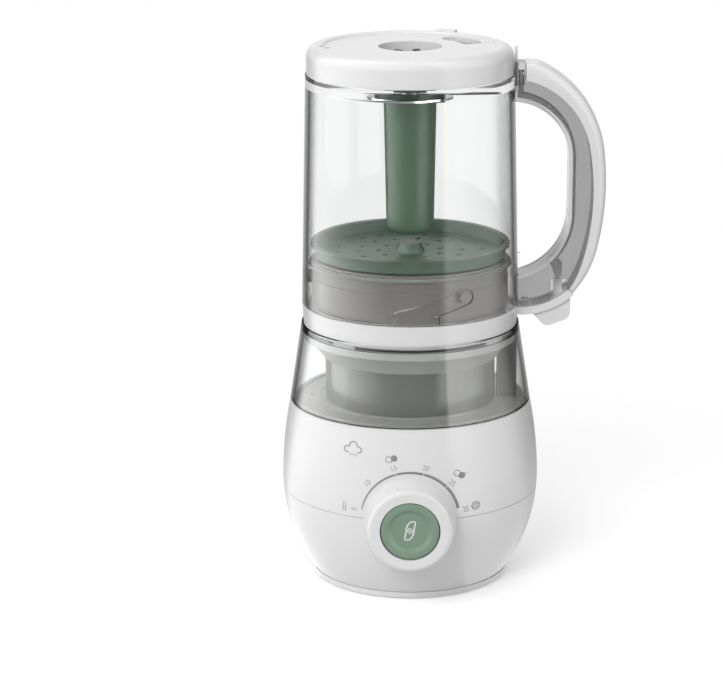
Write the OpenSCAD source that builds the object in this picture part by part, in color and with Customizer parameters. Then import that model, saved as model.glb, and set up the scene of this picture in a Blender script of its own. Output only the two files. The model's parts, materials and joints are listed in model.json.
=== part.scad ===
// Baby food maker: a heated base steams food in a jar that stands on it upside down, and the same
// base drives the jar's blades once the jar is turned over.
// Frame: millimetres, +Z up, origin on the machine's axis at the table, front towards -Y and
// handle towards +X. The jar is drawn in its steaming place: lid below, closed end and cap above.

/* [Base housing] */
// Widest radius of the white housing
body_r = 74.3; // [73:0.1:76]
// Height of the widest place
body_wide_z = 59; // [57:0.5:61]
// Height of the housing's top edge
body_top_z = 104.5; // [104:0.5:105]
// Height of the parting line between the lower and upper shells
seam_z = 53; // [50:0.5:56]
// Wall thickness of the shells
shell_wall = 2.5; // [2:0.1:3]
// Outer radius of the base plate at its top edge
plate_r = 57.3; // [56:0.1:57.5]

/* [Water tank] */
// Outer radius of the clear tank wall at its foot
tank_foot_r = 69.4; // [69:0.1:69.8]
// Outer radius of the clear tank wall at its rim
tank_rim_r = 62.6; // [62.5:0.1:63]
// Height of the tank's rim
tank_top_z = 150.6; // [150:0.1:151]
// Wall thickness of the tank
tank_wall = 2.4; // [2:0.1:2.6]
// Radius of the motor tower that stands in the tank
tower_r = 49; // [48:0.5:49]
// Height of the tower's deck
tower_top_z = 147; // [146:0.5:147]

/* [Jar] */
// Outer radius of the jar at its mouth, which faces down
jar_mouth_r = 62.2; // [62:0.1:62.4]
// Outer radius of the jar at its closed end
jar_end_r = 59.2; // [59:0.1:59.4]
// Wall thickness of the jar
jar_wall = 2.9; // [2.7:0.1:3]
// Height of the jar's mouth
mouth_z = 162.3; // [162.2:0.1:162.4]
// Height of the shoulder under the cap
shoulder_z = 293.6; // [293.2:0.1:293.7]
// Overall height, to the top of the cap
total_h = 310; // [309:0.5:311]
// Radius of the opening in the middle of the cap
cap_hole_r = 18; // [17:0.5:20]

/* [Twist lock] */
// Angle the jar turns to leave the lid
turn_deg = 27; // [25:1:28]
// Height the jar climbs over that turn
turn_rise = 8; // [7:0.5:8]
// Radius of the locking lugs
lug_r = 3.7; // [3.4:0.1:3.8]
// Direction of the first lug, from +X
lug_az = -59; // [-60:1:-58]
// Height of the lugs
lug_z = 176.7; // [176:0.1:177]

/* [Handle] */
// Depth of the white spine, front to back
spine_depth = 24; // [22:1:26]
// Depth of the clear core, front to back
core_depth = 20; // [18:1:20]

/* [Controls] */
// Height of the knob's axis
knob_z = 52.8; // [52.4:0.1:53]
// Radius of the knob's skirt
knob_r = 26; // [25.5:0.1:26.5]
// Distance from the axis to the knob's face
knob_face = 92; // [91:0.5:93]
// Radius of the button in the knob
button_r = 16.5; // [16:0.1:16.7]
// Travel of the button
button_travel = 3; // [2:0.1:3]

/* [Blade unit] */
// Radius of the hub at its wide end
hub_r = 15; // [14.5:0.1:15]
// Height of the hub's free end
hub_low_z = 203; // [202:1:210]
// Height of the blades
blade_z = 283; // [282:0.5:284]

/* [Motor] */
// Radius of the motor's shaft
shaft_r = 4; // [3.9:0.1:4]
// Radius of the rotor
rotor_r = 18; // [17:0.5:18]
// Number of rotor slots
rotor_slots = 12; // [8:1:14]

/* [Hidden] */
$fn = 96;

white = [0.93, 0.93, 0.92];
clear = [0.80, 0.84, 0.84, 0.35];
grey = [0.58, 0.56, 0.54];
green = [0.45, 0.56, 0.48];
steel = [0.75, 0.76, 0.78];
rubber = [0.25, 0.25, 0.26];
copper = [0.72, 0.43, 0.25];
dark = [0.2, 0.21, 0.22];

e = 0.02;                          // overcut that keeps faces of a cut apart

// Radii of the housing's two arcs, which meet at its widest place
body_low_arc = 95;
body_up_arc = 216;

plate_z = 0.8;                     // underside of the base plate
plate_top_z = 4;
foot_r = [46, 52];                 // inner and outer radius of the foot ring
deck_z = body_top_z - 2.5;         // underside of the deck under the tank
deck_hole_r = 37.5;
floor_z = body_top_z + 1.5;        // top of the tank floor
wall_z = body_top_z + 0.7;         // foot of the tank wall, on its gasket

// Steam path, from the heater up through the tower
steam_az = -35;
steam_r = 37;
hose_r = 56;                       // distance of the water hose from the axis

// Jar levels
end_in_z = shoulder_z - 1.1;       // inner face of the jar's end wall
end_out_z = end_in_z + 2.5;
jar_draft = (jar_mouth_r - jar_end_r) / (shoulder_z - mouth_z);
function jar_r(z) = jar_mouth_r - (z - mouth_z) * jar_draft;
function tank_r(z) = tank_foot_r - (z - wall_z) * (tank_foot_r - tank_rim_r) / (tank_top_z - wall_z);

// Lid levels
plug_r = 56.3;
plug_top_z = 189.6;
lid_low_z = 148.3;
lid_top_z = 161.9;

// Handle outlines in the XZ plane. Each is a chain of three arcs that meet in a tangent, given as the
// first arc's centre, the three radii, and the directions in which one arc gives way to the next.
spine_curve = [[48.6, 243.5], [61.7, 160.7, 60.2], [7.3, -13.5]];
core_curve = [[54.5, 245.1], [47.5, 144.4, 61.2], [10.9, -16.1]];
// Centre of arc i of a chain: each lies on the line through the last centre and the join
function arc_centre(curve, i) = i == 0 ? curve[0]
    : arc_centre(curve, i - 1) + (curve[1][i - 1] - curve[1][i]) * [cos(curve[2][i - 1]), sin(curve[2][i - 1])];
// Height at which the middle arc meets its neighbour in direction a
function join_z(curve, a) = arc_centre(curve, 1)[1] + curve[1][1] * sin(a);
arc_lap = 0.2;                     // degrees by which a middle arc stops short of its neighbours
grip_top = [57.3, 246.6, 32.5];    // upper arc of the finger opening
grip_low = [53, 214.1, 36.7];      // lower arc of the finger opening
grip_x = 89.8;
spine_flat_z = 300.5;
// Centre and radius of the arc that parts the handle's foot from the lid's tongue
tongue = [63.3, 200.4, 40.2];
tongue_t = 4.3;
tongue_end = -47.5;                // direction of the tongue's end from the arc's centre
pin_low_z = 287.2;                 // foot of the safety pin while the jar is locked

// ---------- general shapes ----------

// A ring between two radii and two heights
module ring(r_out, r_in, z0, z1) {
    translate([0, 0, z0]) difference() {
        cylinder(r = r_out, h = z1 - z0);
        translate([0, 0, -1]) cylinder(r = r_in, h = z1 - z0 + 2);
    }
}

// Puts its children at a distance from the axis, in a direction
module polar(az, r) {
    rotate([0, 0, az]) translate([r, 0, 0]) children();
}

// Turns its children so that their +Z looks out of the front along the knob's axis
module knob_axis() {
    translate([0, 0, knob_z]) rotate([90, 0, 0]) children();
}

// Extrudes a shape drawn in X and Z, centred on the XZ plane
module in_xz(depth) {
    translate([0, depth / 2, 0]) rotate([90, 0, 0]) linear_extrude(depth) children();
}

// A coil spring of round wire along Z, with its axis on the origin
module coil(r, wire, z0, z1, turns) {
    step = 24;                     // degrees between rings
    sides = 6;
    n = ceil(turns * 360 / step);
    rise = (z1 - z0 - wire) / n;
    function at(i, k) = let (a = i * step, b = k * 360 / sides, q = r + wire / 2 * cos(b))
        [q * cos(a), q * sin(a), z0 + wire / 2 + i * rise + wire / 2 * sin(b)];
    points = [for (i = [0:n], k = [0:sides - 1]) at(i, k)];
    walls = [for (i = [0:n - 1], k = [0:sides - 1]) let (k2 = (k + 1) % sides)
        [i * sides + k, (i + 1) * sides + k, (i + 1) * sides + k2, i * sides + k2]];
    first = [[for (k = [0:sides - 1]) k]];
    last = [[for (k = [sides - 1:-1:0]) n * sides + k]];
    polyhedron(points, concat(walls, first, last), convexity = 8);
}

// ---------- base housing ----------

// Inside of the housing's outline, as it is revolved, moved inwards by an inset
module body_region(inset = 0) {
    intersection() {
        translate([body_r - body_low_arc, body_wide_z]) circle(r = body_low_arc - inset, $fn = 240);
        translate([0, -5]) square([100, body_wide_z + 5]);
    }
    intersection() {
        translate([body_r - body_up_arc, body_wide_z]) circle(r = body_up_arc - inset, $fn = 240);
        translate([0, body_wide_z]) square([100, 60]);
    }
}

// The housing's wall between two heights
module body_wall(z0, z1, inset = 0, wall = shell_wall) {
    rotate_extrude($fn = 180) intersection() {
        difference() {
            body_region(inset);
            body_region(inset + wall);
        }
        translate([20, z0]) square([80, z1 - z0]);
    }
}

// Flat round boss behind the knob, between two heights, and the hole for the knob's sleeve
module knob_boss(z0, z1) {
    intersection() {
        knob_axis() difference() {
            translate([0, 0, 66]) cylinder(r = 25.2, h = 8.9);
            translate([0, 0, 60]) cylinder(r = 22.6, h = 12.4);
        }
        translate([-40, -90, z0]) cube([80, 60, z1 - z0]);
    }
}

module sleeve_hole() {
    knob_axis() translate([0, 0, 55]) cylinder(r = 7.4, h = 30);
}

// Clears the inside of the boss and nothing of the wall around it
module boss_pocket() {
    knob_axis() translate([0, 0, 60]) cylinder(r = 22.6, h = 12.4);
}

module foot_ring() {
    color(rubber) ring(foot_r[1], foot_r[0], 0, plate_z + 1);
}

module base_plate() {
    color(white) difference() {
        translate([0, 0, plate_z]) cylinder(r1 = plate_r - 0.6, r2 = plate_r, h = plate_top_z - plate_z);
        ring(foot_r[1] + e, foot_r[0] - e, 0, plate_z + 1);
        // two rows of air slots
        for (side = [-1, 1], x = [-24:8:24])
            translate([x - 1.5, side * 20 - 11, 0]) cube([3, 22, plate_top_z + 1]);
        for (az = [0:90:270]) polar(az, 40) {
            cylinder(r = 1.85, h = 10);
            cylinder(r = 3.7, h = plate_z + 1.6);
        }
    }
}

module lower_shell() {
    post_r = 4.4;
    color(white) difference() {
        union() {
            body_wall(plate_top_z + 0.3, seam_z - 0.15);
            // tongue that rises inside the upper shell
            difference() {
                union() {
                    body_wall(seam_z - 8, seam_z + 2.5, shell_wall + 0.1, 1.4);
                    body_wall(seam_z - 8, seam_z - 5, shell_wall - 0.5, 1);
                }
                knob_axis() translate([0, 0, 50]) cylinder(r = 25.6, h = 40);
            }
            knob_boss(plate_top_z, seam_z - 0.15);
            intersection() {
                for (az = [0:90:270]) {
                    polar(az, 40) translate([0, 0, plate_top_z]) cylinder(r = post_r, h = 13);
                    polar(az, 0) translate([42, -1.2, plate_top_z]) cube([22, 2.4, 11]);
                }
                rotate_extrude() body_region(1);
            }
            // boss that the cord leaves through
            translate([0, 67.5, 20]) rotate([90, 0, 0]) cylinder(r = 10, h = 8);
        }
        sleeve_hole();
        boss_pocket();
        for (az = [0:90:270]) polar(az, 40) cylinder(r = 1.75, h = 16);
        translate([0, 75, 20]) rotate([90, 0, 0]) cylinder(r = 6.05, h = 22);
        // seats of the grommet's two flanges
        translate([0, 59.5, 20]) rotate([90, 0, 0]) cylinder(r = 9.2, h = 12);
        translate([0, 77.5, 20]) rotate([90, 0, 0]) cylinder(r = 9.2, h = 10);
    }
}

module upper_shell() {
    color(white) difference() {
        union() {
            body_wall(seam_z + 0.15, body_top_z);
            knob_boss(seam_z + 0.15, body_wide_z + 30);
            difference() {
                intersection() {
                    translate([0, 0, deck_z]) cylinder(r = 100, h = body_top_z - deck_z);
                    rotate_extrude() body_region(1);
                }
                cylinder(r = deck_hole_r, h = 200);
            }
            // ribs that carry the deck
            for (az = [20:40:340]) rotate([0, 0, az]) intersection() {
                translate([62, -0.9, deck_z - 8]) cube([12, 1.8, 9]);
                rotate_extrude() body_region(1);
            }
        }
        sleeve_hole();
        boss_pocket();
        polar(steam_az, steam_r) translate([0, 0, 90]) cylinder(r = 4.7, h = 30);
        polar(180, hose_r) translate([0, 0, 90]) cylinder(r = 3.6, h = 30);
        polar(0, 56.5) translate([0, 0, 90]) cylinder(r = 1.75, h = 30);
    }
}

// ---------- water tank and tower ----------

module tank_gasket() {
    color(rubber) ring(tank_foot_r - 0.1, tank_foot_r - tank_wall, body_top_z, wall_z);
}

module tank_floor() {
    color([0.74, 0.76, 0.72]) difference() {
        union() {
            ring(tank_foot_r - tank_wall - 0.3, tower_r, body_top_z, floor_z);
            ring(tank_foot_r - tank_wall - 0.5, tower_r + 14.6, body_top_z, floor_z + 0.8);
            ring(tower_r + 4.4, tower_r + 3.2, floor_z - 0.5, floor_z + 0.6);
        }
        // drain to the heater and hole for the safety rod
        polar(180, hose_r) cylinder(r = 2, h = 200);
        polar(0, 56.5) cylinder(r = 1.75, h = 200);
        translate([50, -6.6, floor_z]) cube([12, 13.2, 5]);
    }
}

module tank_shell() {
    rebate_z = tank_top_z - 4.2;
    color(clear) rotate_extrude($fn = 180) difference() {
        polygon([
            [tank_foot_r - tank_wall, wall_z], [tank_foot_r, wall_z],
            [tank_rim_r, tank_top_z - 0.4], [tank_rim_r - 0.3, tank_top_z],
            [tank_rim_r - tank_wall, tank_top_z]
        ]);
        translate([0, rebate_z]) square([61.7, 10]);
    }
}

// Space that the safety duct takes in the collar
module duct_block(grow = 0) {
    translate([50.2 - grow, -6.5 - grow, floor_z])
        cube([11 + grow, 13 + 2 * grow, 146 - floor_z + grow]);
}

module seat_collar() {
    low_z = 131.6;
    ledge_z = 146;
    t = 1.8;
    color([0.9, 0.92, 0.92, 0.7]) difference() {
        union() {
            rotate_extrude($fn = 180) polygon([
                [tower_r, low_z], [tower_r + 1.6, low_z], [58.4, 142], [60.6, 142],
                [60.6, ledge_z], [58.2, ledge_z], [56.6, 142.6], [tower_r, low_z + 2]
            ]);
            // pads that the lid stands on
            for (az = [45:90:315]) rotate([0, 0, az]) rotate_extrude(angle = 14)
                translate([58.4, ledge_z - 0.5]) square([2, lid_low_z - ledge_z + 0.5]);
        }
        duct_block(0.1);
        // opening that the water is poured through
        translate([-15, tower_r + 1, 128]) cube([30, 6.6, 30]);
    }
}

module core_tower() {
    wall = 2.5;
    shoulder = 3;
    color(grey) difference() {
        union() {
            translate([0, 0, body_top_z]) cylinder(r = tower_r, h = tower_top_z - shoulder - body_top_z);
            translate([0, 0, tower_top_z - shoulder]) rotate_extrude() union() {
                square([tower_r - shoulder, shoulder]);
                intersection() {
                    translate([tower_r - shoulder, 0]) circle(r = shoulder, $fn = 48);
                    square([100, 100]);
                }
            }
            ring(13, 5, tower_top_z - 1, tower_top_z + 1.2);
        }
        translate([0, 0, body_top_z - 1])
            cylinder(r = tower_r - wall, h = tower_top_z - wall - body_top_z + 1);
        cylinder(r = 9, h = 200);
        polar(steam_az, steam_r) translate([0, 0, 140]) cylinder(r = 4.6, h = 20);
    }
}

module interlock_duct() {
    color(clear) intersection() {
        difference() {
            duct_block();
            translate([51.4, -5.3, 0]) cube([8.2, 10.6, 200]);
        }
        // keeps the duct inside the tank's sloping wall
        translate([0, 0, wall_z]) cylinder(
            r1 = tank_r(wall_z) - tank_wall - 0.1,
            r2 = tank_r(146) - tank_wall - 0.1,
            h = 146 - wall_z
        );
    }
}

// ---------- steam and water ----------

module steam_nozzle() {
    color(grey) polar(steam_az, steam_r) difference() {
        union() {
            translate([0, 0, tower_top_z]) cylinder(r = 7.5, h = 1.8);
            translate([0, 0, tower_top_z]) cylinder(r1 = 5.2, r2 = 4.4, h = 16);
        }
        translate([0, 0, tower_top_z - 1]) cylinder(r = 2.8, h = 20);
    }
}

module steam_pipe() {
    color([0.85, 0.84, 0.8]) difference() {
        union() {
            polar(steam_az, steam_r) translate([0, 0, 12]) cylinder(r = 4.5, h = tower_top_z - 12);
            rotate([0, 0, steam_az]) translate([31, 0, 20]) rotate([0, 90, 0]) cylinder(r = 3, h = 4);
        }
        polar(steam_az, steam_r) translate([0, 0, 14]) cylinder(r = 3, h = 200);
        rotate([0, 0, steam_az]) translate([30, 0, 20]) rotate([0, 90, 0]) cylinder(r = 1.8, h = 7);
    }
}

// Cast boiler, a ring left open on one side
module heater_block() {
    color([0.7, 0.7, 0.7]) difference() {
        ring(31, 20, 15, 27);
        // channel that the water boils in, open at the gap
        ring(28.5, 22.5, 18, 24);
        rotate([0, 0, 20]) translate([0, -13, 10]) cube([40, 26, 20]);
        // seats of the two thermostats' screws
        for (az = [150, 250]) polar(az, 25.5) translate([0, 0, 26]) cylinder(r = 1.6, h = 4, $fn = 24);
    }
}

module heater_element() {
    color([0.45, 0.45, 0.46]) rotate([0, 0, 50]) rotate_extrude(angle = 300) {
        translate([25.5, 11.5]) circle(r = 3.5);
    }
}

module thermostats() {
    color(dark) for (az = [150, 240]) polar(az, 25.5) {
        translate([0, 0, 27]) cylinder(r = 5, h = 3);
        translate([0, 0, 30]) cylinder(r = 3.6, h = 3);
        for (side = [-1, 1]) translate([-0.4, side * 2 - 0.4, 33]) cube([0.8, 0.8, 5]);
    }
}

module water_hose() {
    bend = 10;
    low_z = 21;
    module tube(r) {
        translate([hose_r, 0, low_z + bend]) cylinder(r = r, h = body_top_z - low_z - bend);
        translate([hose_r - bend, 0, low_z + bend]) rotate([90, 0, 0]) rotate([0, 0, -90])
            rotate_extrude(angle = 90) translate([bend, 0]) circle(r = r);
        translate([31, 0, low_z]) rotate([0, 90, 0]) cylinder(r = r, h = hose_r - bend - 31);
    }
    color([0.8, 0.82, 0.82]) rotate([0, 0, 180]) difference() {
        tube(3.5);
        tube(2);
    }
}

// ---------- motor ----------

motor_legs = [55, 175, 295];       // directions of the plate's legs

module motor_plate() {
    color(dark) difference() {
        union() {
            ring(45, 14, 63, 66);
            for (az = motor_legs) polar(az, 41) translate([0, 0, 63]) cylinder(r = 3.4, h = deck_z - 63);
        }
        polar(steam_az, steam_r) translate([0, 0, 50]) cylinder(r = 5, h = 30);
        for (az = [25:60:325]) polar(az, 34) translate([0, 0, 50]) cylinder(r = 4.5, h = 30);
    }
}

module motor_dampers() {
    color(rubber) for (az = [0, 120, 240]) polar(az, 19) {
        translate([0, 0, 66]) cylinder(r = 4.5, h = 2.5);
        translate([0, 0, 68.5]) cylinder(r = 3.2, h = 1.5);
        translate([0, 0, 70]) cylinder(r = 4.5, h = 2);
    }
}

module motor_brackets() {
    module bracket(up) {
        difference() {
            union() {
                intersection() {
                    cylinder(r = 32, h = 2.5);
                    translate([-24, -32, 0]) cube([48, 64, 3]);
                }
                translate([0, 0, up > 0 ? 0 : -2.5]) cylinder(r = 13, h = 7.5);
            }
            translate([0, 0, -10]) cylinder(r = 11, h = 30);
            for (side = [-1, 1]) translate([0, side * 29.2, -1]) cylinder(r = 2.02, h = 5);
        }
    }
    color(steel) {
        translate([0, 0, 72]) bracket(-1);
        translate([0, 0, 129]) bracket(1);
        // tie bolts
        for (side = [-1, 1]) translate([0, side * 29.2, 70]) {
            cylinder(r = 2, h = 63);
            cylinder(r = 3.4, h = 2);
            translate([0, 0, 61.5]) cylinder(r = 3.4, h = 2);
        }
    }
}

module motor_bearings() {
    color(steel) for (z = [69.5, 129.5]) ring(11, shaft_r + 0.03, z, z + 7);
}

module stator_core() {
    color([0.5, 0.5, 0.52]) difference() {
        intersection() {
            translate([0, 0, 88]) cylinder(r = 31, h = 28);
            translate([-31, -27, 88]) cube([62, 54, 28]);
        }
        translate([0, 0, 80]) cylinder(r = rotor_r + 0.6, h = 40);
        for (side = [0, 180], tip = [-1, 1]) rotate([0, 0, side + tip * 52])
            translate([19, -3, 80]) cube([6, 6, 40]);
    }
}

module field_coils() {
    color(copper) for (side = [0, 180], z = [81, 116]) rotate([0, 0, side - 55])
        rotate_extrude(angle = 110) translate([19.5, z]) union() {
            translate([0, 1.5]) square([7, 4]);
            translate([1.5, 0]) square([4, 7]);
            for (x = [1.5, 5.5], y = [1.5, 5.5]) translate([x, y]) circle(r = 1.5, $fn = 24);
        }
}

module brush_holders() {
    color([0.7, 0.55, 0.25]) for (side = [-1, 1]) translate([-3, side > 0 ? 11.1 : -26, 79.5]) {
        cube([6, 14.9, 5]);
    }
}

module shaft_seal() {
    color(rubber) difference() {
        union() {
            translate([0, 0, tower_top_z - 2.5]) cylinder(r = 9, h = 3.7);
            translate([0, 0, tower_top_z + 1.2]) cylinder(r1 = 7, r2 = 5, h = 1.2);
        }
        translate([0, 0, 100]) cylinder(r = shaft_r + 0.05, h = 100);
    }
}

module rotor_shaft() {
    color(steel) translate([0, 0, 68]) cylinder(r = shaft_r, h = 88);
}

module rotor_core() {
    pitch = 360 / rotor_slots;
    color([0.45, 0.45, 0.47]) difference() {
        translate([0, 0, 88]) cylinder(r = rotor_r, h = 28);
        translate([0, 0, 80]) cylinder(r = shaft_r, h = 40);
        for (i = [0:rotor_slots - 1]) rotate([0, 0, i * pitch]) translate([10, -1.1, 80]) cube([12, 2.2, 40]);
    }
}

module commutator() {
    color(copper) difference() {
        translate([0, 0, 78]) cylinder(r = 11, h = 9.5);
        translate([0, 0, 70]) cylinder(r = shaft_r, h = 20);
        for (i = [0:11]) rotate([0, 0, i * 30 + 15]) translate([10, -0.3, 77]) cube([3, 0.6, 12]);
    }
}

module cooling_fan() {
    color(white) difference() {
        union() {
            translate([0, 0, 123.2]) cylinder(r = 24, h = 1.2);
            translate([0, 0, 123.2]) cylinder(r = 7, h = 5.4);
            for (i = [0:11]) rotate([0, 0, i * 30]) translate([10, -0.7, 124]) cube([13.4, 1.4, 4]);
        }
        translate([0, 0, 120]) cylinder(r = shaft_r, h = 20);
    }
}

// Toothed driver that meets the blade unit's coupling when the jar is turned over
module drive_coupling() {
    z = tower_top_z + 2.8;
    color(dark) difference() {
        union() {
            translate([0, 0, z]) cylinder(r = 8.5, h = 3);
            translate([0, 0, z]) cylinder(r = 6.5, h = 8);
            for (i = [0:5]) rotate([0, 0, i * 60]) translate([5, -1.6, z]) cube([6.2, 3.2, 7]);
        }
        translate([0, 0, z - 1]) cylinder(r = shaft_r, h = 7.5);
    }
}

// ---------- controls ----------

board_y = -52;                     // front face of the control board
switch_r = 56.3;                   // distance from the axis to the switch's tip

module control_board() {
    color([0.2, 0.42, 0.25]) translate([-31, board_y, 26]) cube([62, 1.6, 60]);
    color(dark) {
        translate([-24, board_y + 1.6, 34]) cube([15, 11, 12]);
        translate([8, board_y + 1.6, 34]) cube([13, 9, 18]);
        for (x = [-18, -6, 6]) translate([x, board_y + 1.6, 68]) rotate([-90, 0, 0]) cylinder(r = 4, h = 3.5);
        translate([-12, board_y + 1.6, 76]) cube([24, 3, 5]);
    }
}

module board_bracket() {
    color(white) difference() {
        intersection() {
            for (side = [-1, 1]) translate([side > 0 ? 29 : -49, board_y - 2, 20]) cube([20, 5.6, 24]);
            rotate_extrude($fn = 180) body_region(shell_wall);
        }
        translate([-31, board_y, 26]) cube([62, 1.6, 60]);
    }
}

module encoder_body() {
    color(dark) difference() {
        translate([0, 0, knob_z]) rotate([90, 0, 0]) translate([-12, -12, -board_y]) cube([24, 24, 9]);
        knob_axis() translate([0, 0, 50]) cylinder(r = 6.65, h = 20);
    }
}

module blend_switch() {
    color(dark) knob_axis() {
        translate([-3, -3, -board_y]) cube([6, 6, 3.4]);
        translate([0, 0, switch_r - 0.9]) cylinder(r = 1.6, h = 0.9);
    }
}

module knob_ring() {
    back = 75.4;
    round = 2.6;
    color(white) knob_axis() rotate_extrude() difference() {
        union() {
            polygon([[15, back], [knob_r, back], [knob_r - 2.2, knob_face - round],
                [knob_r - 2.2 - round, knob_face], [15, knob_face]]);
            translate([knob_r - 2.2 - round, knob_face - round]) circle(r = round, $fn = 48);
        }
        square([button_r + 0.35, 200]);
        translate([0, back - 1]) square([20, 5.6]);
    }
    // pointer rib on the skirt, set to the quarter-hour mark
    color([0.8, 0.8, 0.8]) knob_axis() rotate([0, 0, 17]) translate([-0.6, 22.6, 79]) cube([1.2, 1.9, 9]);
}

module knob_sleeve() {
    color([0.85, 0.85, 0.84]) knob_axis() difference() {
        union() {
            translate([0, 0, 53]) cylinder(r = 6.6, h = 25);
            translate([0, 0, 76]) cylinder(r = 20, h = 2);
        }
        translate([0, 0, 50]) cylinder(r = 5.2, h = 12);
        translate([0, 0, 60]) cylinder(r = 2.7, h = 10);
        translate([0, 0, 63.5]) cylinder(r = 5.2, h = 20);
    }
}

module blend_button() {
    low = 81.4;
    top = knob_face - 0.5;
    dish = 34;                     // radius of the hollow that a fingertip rests in
    color(green) knob_axis() difference() {
        union() {
            translate([0, 0, low]) cylinder(r = button_r, h = top - 1.2 - low);
            translate([0, 0, top - 1.2]) rotate_extrude() union() {
                square([button_r - 1.2, 1.2]);
                intersection() {
                    translate([button_r - 1.2, 0]) circle(r = 1.2, $fn = 32);
                    square([50, 50]);
                }
            }
        }
        translate([0, 0, low - 1]) cylinder(r = button_r - 1.6, h = top - 3.6 - low + 1);
        translate([0, 0, top + sqrt(dish * dish - 110.25)]) sphere(r = dish, $fn = 96);
    }
}

module button_plunger() {
    color(white) knob_axis() {
        translate([0, 0, switch_r + button_travel]) cylinder(r = 2.3, h = 87.9 - switch_r - button_travel);
        translate([0, 0, 71]) cylinder(r = 4.8, h = 1.5);
    }
}

module button_spring() {
    color(steel) knob_axis() coil(3.7, 0.7, 63.55, 70.95, 6);
}

// ---------- safety rod ----------

rod_x = 56.5;

module interlock_rod() {
    color(white) {
        translate([rod_x - 1.9, -2.2, 121.5]) cube([4.7, 4.4, 23.5]);
        translate([rod_x, 0, 96.5]) cylinder(r = 1.6, h = 26);
    }
}

module rod_spring() {
    color(steel) translate([rod_x, 0, 0]) coil(2.3, 0.5, floor_z + 0.05, 121.45, 8);
}

module interlock_switch() {
    color(dark) {
        translate([50, -4, 82]) cube([13, 8, 9]);
        translate([52, -2, 91]) cube([9, 4, 0.9]);
        for (side = [-1, 1]) translate([50, side * 5 - 1, 82]) cube([13, 2, deck_z - 82]);
    }
}

// ---------- rear inlet and fixings ----------

module cord_grommet() {
    color(rubber) translate([0, 0, 20]) rotate([-90, 0, 0]) difference() {
        union() {
            translate([0, 0, 57.5]) cylinder(r = 9, h = 2);
            translate([0, 0, 59]) cylinder(r = 6, h = 9);
            translate([0, 0, 67.5]) cylinder(r1 = 9, r2 = 8, h = 2.5);
        }
        translate([0, 0, 50]) cylinder(r = 3.5, h = 30);
    }
}

module terminal_block() {
    color([0.9, 0.88, 0.82]) difference() {
        translate([8, 35, plate_top_z]) cube([22, 9, 13]);
        for (x = [12, 19, 26]) translate([x, 39.5, 8]) cylinder(r = 2, h = 20);
    }
}

module base_screws() {
    color(steel) for (az = [0:90:270]) polar(az, 40) difference() {
        union() {
            translate([0, 0, plate_z + 0.2]) cylinder(r = 3.2, h = 1.4);
            translate([0, 0, plate_z + 1]) cylinder(r = 1.7, h = 13);
        }
        translate([-2.4, -0.4, 0]) cube([4.8, 0.8, plate_z + 0.9]);
        translate([-0.4, -2.4, 0]) cube([0.8, 4.8, plate_z + 0.9]);
    }
}

// ---------- lid and tray ----------

// The arc that the tongue follows, between two radii and down from its level end
module tongue_band(r_in, r_out) {
    intersection() {
        difference() {
            translate([tongue[0], tongue[1]]) circle(r = r_out, $fn = 180);
            translate([tongue[0], tongue[1]]) circle(r = r_in, $fn = 180);
        }
        polygon([
            [tongue[0], tongue[1]],
            [tongue[0] + 90 * cos(tongue_end), tongue[1] + 90 * sin(tongue_end)],
            [tongue[0], tongue[1] - 90],
            [tongue[0] - 4, tongue[1] - 90],
            [tongue[0] - 4, tongue[1]]
        ]);
    }
}

// White ring of the lid, with the tongue and thumb tab under the handle
module lid_ring() {
    color(white) {
        difference() {
            union() {
                rotate_extrude($fn = 180) polygon([
                    [58.7, lid_low_z], [60.9, lid_low_z], [61.3, lid_low_z + 0.5], [62, lid_top_z - 0.4],
                    [61.6, lid_top_z], [plug_r + 0.1, lid_top_z], [plug_r + 0.1, 159.4], [59.3, 159.4]
                ]);
                in_xz(21) tongue_band(tongue[2], tongue[2] + tongue_t);
            }
            // the tongue starts in the ring and stays clear of the plug
            cylinder(r = 59.3, h = 159.4);
        }
        // thumb tab
        in_xz(17) difference() {
            hull() {
                translate([78.7, 153.2]) circle(r = 4.2, $fn = 32);
                translate([86.2, 157.3]) circle(r = 5.5, $fn = 32);
                translate([70, 157.5]) circle(r = 0.8, $fn = 16);
                translate([90.4, 168]) circle(r = 1.3, $fn = 16);
            }
            translate([tongue[0], tongue[1]]) circle(r = tongue[2] + tongue_t - 0.6, $fn = 180);
        }
        // finger that reaches into the handle's foot, with a round top
        in_xz(5) {
            translate([82.3, 163.5]) square([5, 9.4]);
            translate([84.8, 172.9]) circle(r = 2.5, $fn = 48);
        }
        translate([64, -2, 159]) cube([3.6, 4, 4.6]);
    }
}

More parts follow.
